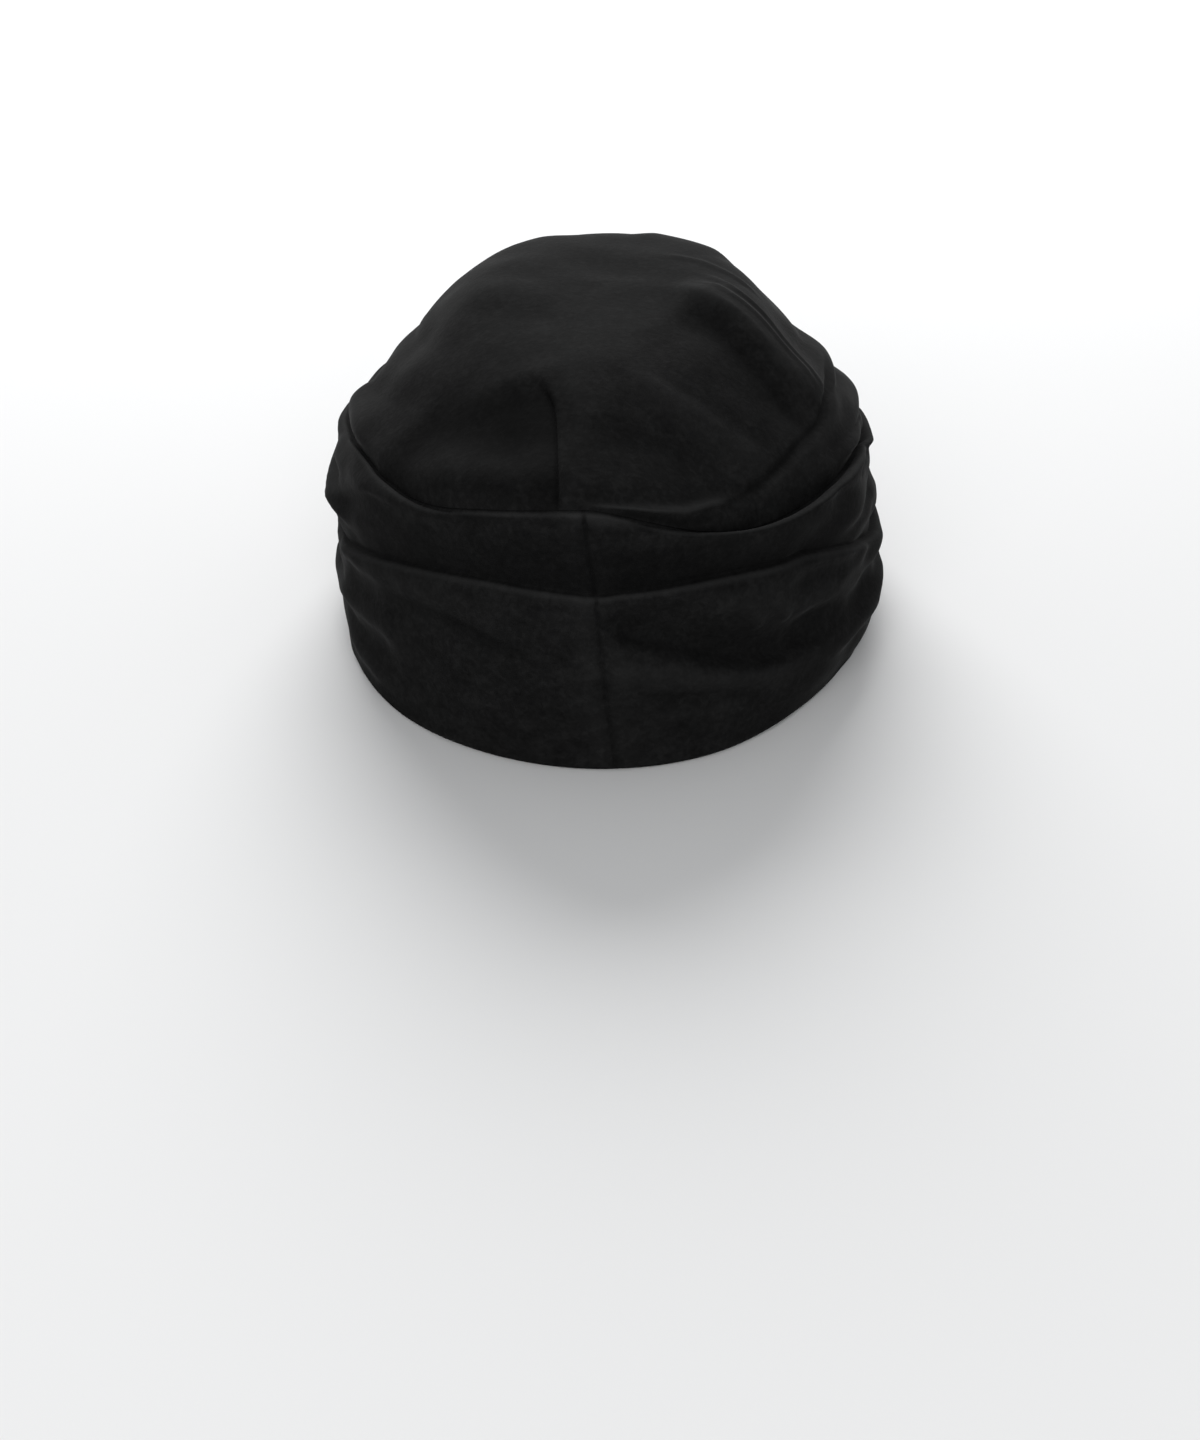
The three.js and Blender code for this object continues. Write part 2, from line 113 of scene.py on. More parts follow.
# a cubic through values at rising places, each slope taken from the two neighbours;
# values may hold a whole array for each place
def cubicThrough(places, values, place):
    places = np.asarray(places, float)
    values = np.asarray(values, float)
    last = len(places) - 1
    before = np.maximum(np.arange(last + 1) - 1, 0)
    after = np.minimum(np.arange(last + 1) + 1, last)
    gaps = (places[after] - places[before]).reshape((-1,) + (1,) * (values.ndim - 1))
    slopes = (values[after] - values[before]) / gaps
    p = np.clip(place, places[0], places[-1])
    i = np.clip(np.searchsorted(places, p, side="right") - 1, 0, last - 1)
    span = places[i + 1] - places[i]
    u = (p - places[i]) / span
    v = 1 - u

    def pick(table, k):
        if table.ndim == 1:
            return table[k]
        return np.take_along_axis(np.broadcast_to(table, (last + 1,) + k.shape), k[None], 0)[0]

    return (
        v * v * (1 + 2 * u) * pick(values, i) + v * v * u * span * pick(slopes, i)
        + u * u * (1 + 2 * v) * pick(values, i + 1) - u * u * v * span * pick(slopes, i + 1)
    )


# a row's value at a turn: the cubic through its values at the stations, closed round the cap
def roundTheCap(row, turn, turns=stations):
    row, turns = np.asarray(row, float), np.asarray(turns, float)
    closedRow = np.concatenate([row[-2:], row, row[:2]])
    closedTurns = np.concatenate([turns[-2:] - 360, turns, turns[:2] + 360])
    return cubicThrough(closedTurns, closedRow, np.mod(turn + 180, 360) - 180)


# a point from its turn, how far it stands out from the hem's oval, and its height over the hem;
# the front of the hem is lifted, less and less up to liftFade
def placeAt(turn, out, z):
    angle = np.radians(turn)
    fromBack = np.abs(np.mod(turn + 180, 360) - 180)
    lift = cap["frontLift"] * smooth((fromBack - cap["liftFrom"]) / (cap["liftTo"] - cap["liftFrom"]))
    x = (cap["hemHalfWidth"] + out) * np.sin(angle)
    y = -(cap["hemHalfDepth"] + out) * np.cos(angle)
    return np.stack(np.broadcast_arrays(x, y, z + lift * np.maximum(0, 1 - z / cap["liftFade"])), -1)


# the nearest place on a bent line: the share of the way along it, and how far off to its left
def alongLine(x, y, line):
    line = np.asarray(line, float)
    steps = np.linalg.norm(np.diff(line, axis=0), axis=1)
    walked = np.concatenate([[0], np.cumsum(steps)])
    nearest = np.full(np.broadcast(x, y).shape, np.inf)
    share = np.zeros_like(nearest)
    left = np.zeros_like(nearest)
    for (fromX, fromY), (toX, toY), step, before in zip(line[:-1], line[1:], steps, walked[:-1]):
        wayX, wayY = (toX - fromX) / step, (toY - fromY) / step
        raw = (x - fromX) * wayX + (y - fromY) * wayY
        along = np.clip(raw, 0, step)
        offX, offY = x - fromX - along * wayX, y - fromY - along * wayY
        far = np.hypot(offX, offY)
        closer = far < nearest
        nearest = np.where(closer, far, nearest)
        share = np.where(closer, (before + along) / walked[-1], share)
        left = np.where(closer, np.copysign(far, wayX * offY - wayY * offX), left)
    return share, left


# a soft crease: push * exp(-(distance / width)^2), with one width on each side, fading at both ends
def creasePush(rows, x, y):
    total = np.zeros(np.broadcast(x, y).shape)
    for line, rightWidth, leftWidth, push in rows:
        share, left = alongLine(x, y, line)
        width = np.where(left > 0, leftWidth, rightWidth)
        ends = smooth(np.minimum(share, 1 - share) / cap["creaseFade"])
        total += push * ends * np.exp(-((left / width) ** 2))
    return total


# the same for lines of turns and heights
def turnedCreases(rows, turn, z):
    scale = band["mmPerDegree"]
    spread = [([(t * scale, h) for t, h in line], *sizes) for line, *sizes in rows]
    return creasePush(spread, turn * scale, z)


# slack in the cloth: a sum of sine waves in seeded directions, higher where they are longer
def slackIn(points, seed, lengths, height):
    dice = np.random.default_rng(seed)
    total = np.zeros(points.shape[:-1])
    for length in lengths:
        for _ in range(slack["waves"]):
            way = dice.normal(size=3) * slack["leaning"]
            way /= np.linalg.norm(way)
            phase = dice.uniform(0, 2 * np.pi)
            total += length * np.sin(points @ way * 2 * np.pi / length + phase)
    return height * total / (np.sum(lengths) * slack["calming"])


# gathers at both sides: rounded folds with sharp nicks between, height * |sin| of the height and the turn
def gatherPush(turn, z):
    side = np.abs(np.mod(turn + 180, 360) - 180)
    spread = np.exp(-(((side - gather["turn"]) / gather["spread"]) ** 2))
    onRight = np.mod(turn + 180, 360) > 180
    slant = np.where(onRight, gather["rightSlant"], gather["leftSlant"]) * (side - gather["turn"])
    wander = gather["wander"] * np.sin(z / gather["wanderHeight"] + turn / gather["wanderTurn"])
    wave = np.abs(np.sin(np.pi * (z + slant) / gather["fold"] + wander))
    return gather["height"] * spread * (wave - gather["sunk"])


# columns round the cap, closer together at the back: turn = s - crowding * sin(s) for even steps s
def turnColumns():
    even = np.linspace(-np.pi, np.pi, cap["turnSteps"], endpoint=False)
    return np.degrees(even - cap["backCrowding"] * np.sin(even))[:, None]


# a mesh from a grid of points [column, row], closed round the columns, the rows or both; fans of triangles
# close what stays open, to the two poles or to the middles of the first and the last column
def meshFromGrid(name, grid, closeColumns=True, closeRows=False, poles=None):
    columns, rows = grid.shape[:2]
    number = np.arange(columns * rows).reshape(columns, rows)
    across = np.roll(number, -1, 0) if closeColumns else number[1:]
    here = number if closeColumns else number[:-1]
    if closeRows:
        nextHere, nextAcross = np.roll(here, -1, 1), np.roll(across, -1, 1)
    else:
        nextHere, nextAcross = here[:, 1:], across[:, 1:]
        here, across = here[:, :-1], across[:, :-1]
    quads = np.stack([here, across, nextAcross, nextHere], -1).reshape(-1, 4)
    points = grid.reshape(-1, 3)
    triangles = np.zeros((0, 3), int)
    loops = []
    if poles is not None:
        loops = [(number[::-1, 0], poles[0]), (number[:, -1], poles[1])]
    if not closeColumns:
        loops = [(number[0], grid[0].mean(0)), (number[-1, ::-1], grid[-1].mean(0))]
    for loop, middle in loops:
        fan = np.stack([np.full(len(loop), len(points)), loop, np.roll(loop, -1)], -1)
        triangles = np.concatenate([triangles, fan])
        points = np.concatenate([points, [middle]])
    place = (points + np.array([*cap["hemCentre"], 0])) * mm
    mesh = bpy.data.meshes.new(name)
    mesh.vertices.add(len(place))
    mesh.vertices.foreach_set("co", place.ravel())
    corners = np.concatenate([quads.ravel(), triangles.ravel()])
    mesh.loops.add(len(corners))
    mesh.loops.foreach_set("vertex_index", corners)
    sizes = np.concatenate([np.full(len(quads), 4), np.full(len(triangles), 3)])
    mesh.polygons.add(len(sizes))
    mesh.polygons.foreach_set("loop_start", np.concatenate([[0], np.cumsum(sizes)[:-1]]))
    mesh.polygons.foreach_set("use_smooth", np.ones(len(sizes), bool))
    mesh.update(calc_edges=True)
    mesh.validate()
    piece = bpy.data.objects.new(name, mesh)
    scene.collection.objects.link(piece)
    return piece


# a number for each point that the cloth's material reads, such as the painted light and shade there
def storeOn(piece, name, values):
    field = piece.data.attributes.new(name, "FLOAT", "POINT")
    field.data.foreach_set("value", np.asarray(values, np.float32).ravel())


# columns of each row: front, left, left back, near left, back, near right, right back, right
band = {
    # from the hem up: height of the ridge, how far the cloth steps in above it, how far below the ridge it
    # starts to turn in, how many times its depth it drops into a pocket, and if it is sharp all the way round
    "tucks": [
        {
            "height": (12, 8, 12, 18, 18, 17, 12, 7),
            "depth": (0.6, 2.0, 0.6, 0, 0, 0, 0.6, 1.2),
            "roll": 3,
            "pocket": 1,
            "crisp": False,
        },
        {
            "height": (22, 20, 30, 38, 38, 36, 30, 19),
            "depth": (1.5, 2.5, 0.6, 0, 0, 0, 0.6, 2.5),
            "roll": 3,
            "pocket": 1,
            "crisp": False,
        },
        {  # the main fold, right across the back
            "height": (34, 33, 52, 59, 58.8, 60, 55, 31),
            "depth": (3, 4.6, 3.4, 3, 3, 3.4, 3.6, 3.4),
            "roll": 2.4,
            "pocket": 0.6,
            "crisp": True,
        },
        {
            "height": (46, 48, 62, 68, 70, 66, 62, 46),
            "depth": (1.5, 2.2, 0.4, 0, 0, 0, 0.4, 2.2),
            "roll": 3,
            "pocket": 1,
            "crisp": False,
        },
        {  # the lip that the crown sinks behind, with stations of its own for its height
            "turns": (-180, -90, -65, -48, -35, -20, -3, 3, 10, 18, 30, 50, 67, 90),
            "height": (58, 64, 73.4, 75, 75, 78.8, 82, 80.8, 78.4, 75.6, 72.6, 71.4, 69, 61),
            "depth": (3, 3.4, 3.4, 1, 0.8, 4.2, 4.8, 3.4),
            "roll": (1.8, 8, 4.6, 1.8, 1.8, 1.8, 1.8, 1.8),
            "pocket": 1.3,
            "crisp": True,
        },
    ],
    "leastRoll": 1.8,
    "swellHeights": (0, 22, 45, 65, 90),
    "swell": [  # how far the band stands out from the hem's oval at those heights
        (0, -3, 0.8, 0.8, 1, 0.5, -2, 0),
        (2, 0.5, 1.5, 3, 3, 2.5, 3.6, 5.8),
        (1, 0.2, 2, 4, 5, 4, 3.5, 1.2),
        (-3, -3.2, 1, 4, 5, 4, 2.5, -3.4),
        (-12, -9, -3, 1, 3, 1, -3, -8.5),
    ],
    "mmPerDegree": 1.75,
    "creases": [  # a line of turns and heights, its width below and above, and the push outwards
        ([(-74, 38), (-60, 42.5), (-47, 46.4), (-38, 47), (-29, 47.6), (-20, 45.6), (-10, 42)], 4.2, 7, 1),
        ([(-70, 34), (-54, 39), (-42, 41.6), (-30, 43.4), (-20, 41.6), (-9, 37.5)], 8, 4.4, -1.5),
        ([(-74, 24), (-60, 27), (-50, 27.6), (-38, 29)], 4.4, 6, 1.2),
        ([(-72, 19), (-56, 22.6), (-42, 24.6)], 6, 4.4, -1.2),
        ([(-70, 11), (-57, 10.3), (-44, 10)], 3, 4, 1),
        ([(-33, 75.4), (-41, 73), (-48, 72), (-52, 71), (-57, 66.5), (-68, 57), (-78, 50)], 5, 1.8, 1.3),
        ([(-122, 61), (-98, 61.5), (-84, 62)], 3, 3, 2.3),
        ([(-106, 51.5), (-80, 52.5), (-58, 53)], 3, 3, 1.8),
        ([(-108, 31.5), (-82, 33), (-62, 37)], 3.6, 3.6, -2),
        ([(16, 52), (24, 50), (32, 46), (40, 43)], 5, 5, 1),
        ([(33, 50.5), (42, 49), (51, 46), (66, 40.5)], 2.6, 3, -1.5),
        ([(34, 40), (46, 40), (56, 39.6), (70, 38)], 4, 5, 0.9),
        ([(36, 36), (45, 34.6), (52, 32.6), (62, 29.4), (74, 27)], 3.6, 3.6, -1.7),
        ([(58, 70), (50, 62.5), (36, 56)], 6, 6, -0.9),
        ([(26, 55), (28, 48), (30.6, 39)], 2.6, 2.6, 1),
        ([(32, 53), (34.4, 46), (37.4, 38)], 2.6, 2.6, 1),
        ([(64, 65), (77, 63.5), (86, 62)], 2, 2, -1.4),
        ([(80, 61), (91, 60), (108, 58)], 2.4, 2.4, 2),
        ([(50, 54), (76, 51), (104, 49)], 2.6, 2.6, -1.4),
        ([(68, 46.5), (84, 45.5), (104, 45)], 2.8, 2.8, -1.4),
        ([(46, 40), (72, 36), (102, 33)], 3.6, 3.6, -1.6),
        ([(46, 28), (71, 25), (100, 21)], 4, 4, -2.2),
        ([(48, 20), (64, 19), (78, 14)], 3.4, 3.4, 1.8),
    ],
    "seamCreases": [  # the same, but only on the right of the centre back seam
        ([(-22, 55), (-2, 49), (12, 41.8), (22, 34.4), (30, 30.2), (38, 28), (58, 28)], 2.2, 10, -5),
        ([(-14, 38), (2, 36), (14, 33), (21, 29.6), (31, 25.6), (46, 23.6)], 6, 3.5, 1.9),
        ([(2, 25.5), (10, 24), (23, 21.6), (36, 19)], 2.4, 3, -1),
        ([(4, 20.5), (16, 18.5), (32, 16.5)], 4, 3, 0.7),
    ],
    "seamCreaseFrom": -1,  # mm from the seam, and over how many more they come in
    "seamCreaseFade": 10,
    "sharpStep": 2.6,  # height of the step in above a sharp tuck and above a soft one
    "softStep": 8,
    "shallowDepth": 1.5,  # a tuck this deep or less is soft
    "deepDepth": 3.5,  # one this deep or more is sharp
    "pocketSpread": 0.8,
    "returnPower": 1.7,  # how soon the cloth comes back out above a tuck
    "plainDepth": 1,  # a tuck shallower than this is passed over more and more
    "hemThickness": 4,
    "foldedThickness": 8.5,
    "foldedFrom": 0.5,  # the share of the way up by which the wall is so thick
    "seam": {  # at the centre back, leaning a little
        "heights": (0, 12, 27, 45, 58, 70, 88),
        "turns": (2.6, 1.9, 0.6, -0.4, -1.0, -2.3, -3.5),
        "depth": 0.7,
        "width": 0.6,
        "lowShare": 0.75,  # the share of that depth below the main fold, where the cloth hangs free
        "lowTo": 45,
        "lowFade": 12,
        "shoulder": 0.35,
        "shoulderAway": 3.5,
        "shoulderWidth": 2.5,
        "pucker": 0.18,
        "puckerLength": 7.5,
        "puckerWidth": 5,
        # painted shade in the groove, and a painted highlight beside it on both sides
        "paintedLight": -0.15,
        "besidePaintedHighlight": 0.06,
        "besideAway": 5,
        "besideWidth": 4,
    },
    "paintedLight": {  # painted highlight (+) and painted shade (-) in the colour, for light on ridges and edges and shade in folds
        "fold": 0.06,  # painted highlight for each mm that the folds stand out, painted shade for each mm that they lie in
        "foldRange": (-0.35, 0.15),
        "lines": [  # painted shade and painted highlight along lines as the creases'
            # a painted shade line under the crest of the fold on the left
            (
                [
                    (-62, 42.6), (-50, 43.2), (-43, 43.8), (-36, 44.2),
                    (-30, 44.2), (-25, 43), (-19, 40.3), (-10, 37),
                ],
                3, 1.6, -0.5,
            ),
            # a painted highlight along the top of the lip at the centre back
            ([(-7, 83.6), (-3, 82.4), (0, 81.8), (3, 81), (7, 79.2)], 1.6, 1.4, 0.2),
        ],
        "panel": -0.4,  # painted shade between the main fold and the lip, at the back
        "panelRight": -0.12,  # and more to the right of the seam
        "panelRightFade": 12,
        "panelFoot": 3,  # mm above the main fold by which it is full
        "panelTop": 2,  # mm below the lip where it ends
        "panelFade": 9,
        "panelSpread": 55,  # degrees
        "edge": 0.3,  # painted highlight along the top of each sharp tuck
        "edgeBelow": 0.4,
        "edgeWidth": 0.9,
        "edgeDepth": 0.8,  # a tuck less deep than this shows less of an edge
        "risenBelow": 0.6,  # a shallow tuck shows its edge this far below the top of its step
        "risenDepth": 0.8,
        "risenFade": 2,
        "shade": -0.3,  # painted shade in the fold above each sharp tuck
        "shadeDepth": 5,
        "shadeFade": 9,
    },
    "slack": {"seed": 3, "lengths": (14, 24, 38), "height": 0.45},
    "slackFade": 8,
    "betweenRows": 8,
    "rollRows": 11,
    "innerRows": 9,
    "hemRows": 8,
    "flat": (0.6, 0.095),  # metres: the strip before it is tucked and joined at the centre back
}
mainFold = band["tucks"][2]
lip = band["tucks"][-1]


# how far the band stands out without its folds: cubics of the turn, one for each height, then a cubic of z
def swellAt(turn, z):
    turn, z = np.broadcast_arrays(turn, z)
    rows = np.stack([roundTheCap(row, turn) for row in band["swell"]])
    return cubicThrough(band["swellHeights"], rows, z)


# height of a tuck's ridge: a cubic of the turn
def ridgeAt(tuck, turn):
    return roundTheCap(tuck["height"], turn, tuck.get("turns", stations))


# how far below the ridge the cloth starts to turn in
def rollAt(tuck, turn):
    if np.ndim(tuck["roll"]):
        return np.maximum(roundTheCap(tuck["roll"], turn), band["leastRoll"])
    return np.full(turn.shape, float(tuck["roll"]))


# ridge, depth, how sharply the tuck is folded, and the height of the step above it
def tuckAt(tuck, turn):
    depth = np.maximum(roundTheCap(tuck["depth"], turn), 0)
    sharpness = smooth((depth - band["shallowDepth"]) / (band["deepDepth"] - band["shallowDepth"]))
    if tuck["crisp"]:
        sharpness = np.ones_like(depth)
    step = band["softStep"] + (band["sharpStep"] - band["softStep"]) * sharpness
    return ridgeAt(tuck, turn), depth, sharpness, step


# the height by which the cloth has come back out above a tuck: the next ridge up, or the one after it
# where the next tuck has run out
def returnHeight(index, turn):
    height = np.full(turn.shape, np.inf)
    for tuck in band["tucks"][:index:-1]:
        ridge, depth, _, _ = tuckAt(tuck, turn)
        present = smooth(depth / band["plainDepth"])
        height = ridge if np.isinf(height).any() else height + (ridge - height) * present
    return height


# how far to the right of the centre back seam, in mm
def fromSeam(turn, z):
    line = cubicThrough(band["seam"]["heights"], band["seam"]["turns"], z)
    return np.radians(turn - line) * cap["hemHalfDepth"]


# 1 in the seam, less below the main fold, and 0 away from it
def seamLine(turn, z):
    seam = band["seam"]
    folded = smooth((z - seam["lowTo"]) / seam["lowFade"])
    share = seam["lowShare"] + (1 - seam["lowShare"]) * folded
    return share * np.exp(-((fromSeam(turn, z) / seam["width"]) ** 2))


# a sewn groove with a soft shoulder on each side and small puckers along it
def seamPush(turn, z):
    seam = band["seam"]
    away = fromSeam(turn, z)
    groove = seam["depth"] * seamLine(turn, z)
    fromShoulder = (np.abs(away) - seam["shoulderAway"]) / seam["shoulderWidth"]
    shoulder = seam["shoulder"] * np.exp(-(fromShoulder ** 2))
    wave = np.sin(z * 2 * np.pi / seam["puckerLength"] + np.sign(away))
    pucker = seam["pucker"] * wave * np.exp(-((away / seam["puckerWidth"]) ** 2))
    return shoulder + pucker - groove


# outer face: out is the swell and creases, less the depth of each tuck from its ridge up, coming back
# by the next ridge; z drops into a pocket just above each deep ridge
def wallAt(turn, rest):
    turn, rest = np.broadcast_arrays(turn, rest)
    low = np.minimum(rest, ridgeAt(lip, turn))  # folds go straight on past the lip
    folds = turnedCreases(band["creases"], turn, low) + gatherPush(turn, low)
    pastSeam = smooth((fromSeam(turn, low) - band["seamCreaseFrom"]) / band["seamCreaseFade"])
    folds = folds + turnedCreases(band["seamCreases"], turn, low) * pastSeam
    out = swellAt(turn, rest) + folds
    z = rest.astype(float)
    for index, tuck in enumerate(band["tucks"]):
        ridge, depth, sharpness, step = tuckAt(tuck, turn)
        above = rest - ridge - step
        roll = rollAt(tuck, turn)
        stepIn = smooth((rest - ridge + roll) / (step + roll))
        comeBack = np.clip(above / np.maximum(returnHeight(index, turn) - ridge - step, 1), 0, 1)
        out = out - depth * stepIn * (1 - comeBack) ** band["returnPower"]
        pocket = np.exp(-((above / (band["pocketSpread"] * step)) ** 2))
        z = z - tuck["pocket"] * depth * sharpness * pocket
    return out, z, folds


# how far out and how high the bottom of the fold behind the lip is
def lipPocket(turn):
    ridge, _, _, step = tuckAt(lip, turn)
    return wallAt(turn, ridge + step)[:2]


# heights of the rows: even steps up to each tuck's roll, and closer ones over the roll
def restHeights(turn):
    start = np.full(turn.shape, band["hemThickness"] / 2)
    rows = [start]
    lipRidge, _, _, lipStep = tuckAt(lip, turn)
    for tuck in band["tucks"]:
        ridge, _, _, step = tuckAt(tuck, turn)
        roll = ridge - rollAt(tuck, turn)
        rows.append(start + (roll - start) * np.linspace(0, 1, band["betweenRows"] + 1)[1:])
        end = np.minimum(ridge + step, lipRidge + lipStep)
        rows.append(roll + (end - roll) * np.linspace(0, 1, band["rollRows"] + 1)[1:])
        start = end
    return np.sort(np.concatenate(rows, 1), axis=1)


# painted light and shade: lighter where folds stand out, darker where they lie in, lines of their own, the
# seam, the panel between the main fold and the lip, and a painted highlight with painted shade above it at
# each sharp tuck
def bandPaintedLight(turn, rest, folds):
    paintedLight, seam = band["paintedLight"], band["seam"]
    away = fromSeam(turn, rest)
    total = np.clip(paintedLight["fold"] * folds, *paintedLight["foldRange"]) + turnedCreases(paintedLight["lines"], turn, rest)
    beside = np.exp(-(((np.abs(away) - seam["besideAway"]) / seam["besideWidth"]) ** 2))
    total = total + seam["paintedLight"] * seamLine(turn, rest) + seam["besidePaintedHighlight"] * beside
    panel = smooth((rest - ridgeAt(mainFold, turn)) / paintedLight["panelFoot"])
    panel = panel * smooth((ridgeAt(lip, turn) - paintedLight["panelTop"] - rest) / paintedLight["panelFade"])
    paintedShade = paintedLight["panel"] + paintedLight["panelRight"] * smooth(away / paintedLight["panelRightFade"])
    total = total + panel * paintedShade * np.exp(-((turn / paintedLight["panelSpread"]) ** 2))
    for tuck in band["tucks"]:
        ridge, depth, sharpness, step = tuckAt(tuck, turn)
        risen = (step - paintedLight["risenBelow"]) * (1 - smooth((depth - paintedLight["risenDepth"]) / paintedLight["risenFade"]))
        edge = np.exp(-(((rest - ridge + paintedLight["edgeBelow"] - risen) / paintedLight["edgeWidth"]) ** 2))
        edge = edge * sharpness * smooth(depth / paintedLight["edgeDepth"])
        shade = smooth((rest - ridge) / step) * np.exp(-np.maximum(rest - ridge - step, 0) / paintedLight["shadeFade"])
        shade = shade * sharpness * smooth(depth / paintedLight["shadeDepth"])
        total = total + paintedLight["shade"] * shade + paintedLight["edge"] * edge
    return total


# one closed loop for each turn: up the outer face, over the ledge behind the lip, down the inner face
# and round the hem's lower edge, which is half a circle
def makeBand():
    turn = turnColumns()
    rest = restHeights(turn)
    out, z, folds = wallAt(turn, rest)
    out = out + seamPush(turn, rest)
    outer = placeAt(turn, out, z)
    lipRidge, _, _, lipStep = tuckAt(lip, turn)
    loose = slackIn(outer, **band["slack"]) * smooth((lipRidge + lipStep - rest) / band["slackFade"])
    outer[..., :2] *= 1 + loose[..., None] / cap["hemHalfDepth"]
    ledge = lipPocket(turn)[1]
    down = np.linspace(1, 0, band["innerRows"] + 1)[None, :-1]
    thicker = (band["foldedThickness"] - band["hemThickness"]) * smooth(down / band["foldedFrom"])
    thickness = band["hemThickness"] + thicker
    half = band["hemThickness"] / 2
    innerZ = half + (ledge - half) * down
    inner = placeAt(turn, swellAt(turn, innerZ) - thickness, innerZ)
    angle = np.linspace(np.pi, 2 * np.pi, band["hemRows"] + 1)[None, :-1]
    hemOut = swellAt(turn, np.zeros_like(turn)) - half + half * np.cos(angle)
    hem = placeAt(turn, hemOut, half + half * np.sin(angle))
    piece = meshFromGrid("gathered_band_cloth", np.concatenate([outer, inner, hem], 1), closeRows=True)
    bare = np.zeros((len(turn), inner.shape[1] + hem.shape[1]))
    # painted light and shade on the outer face, none inside or on the hem
    storeOn(piece, "paintedLight", np.concatenate([bandPaintedLight(turn, rest, folds), bare], 1))
    return piece


# the thin fold above the lip on the right, as turns and heights
thinFold = [(-5, 86), (1.8, 85), (5, 84.2), (10, 82.2), (16, 79.8), (20, 79.2), (25, 78.2), (31, 78)]

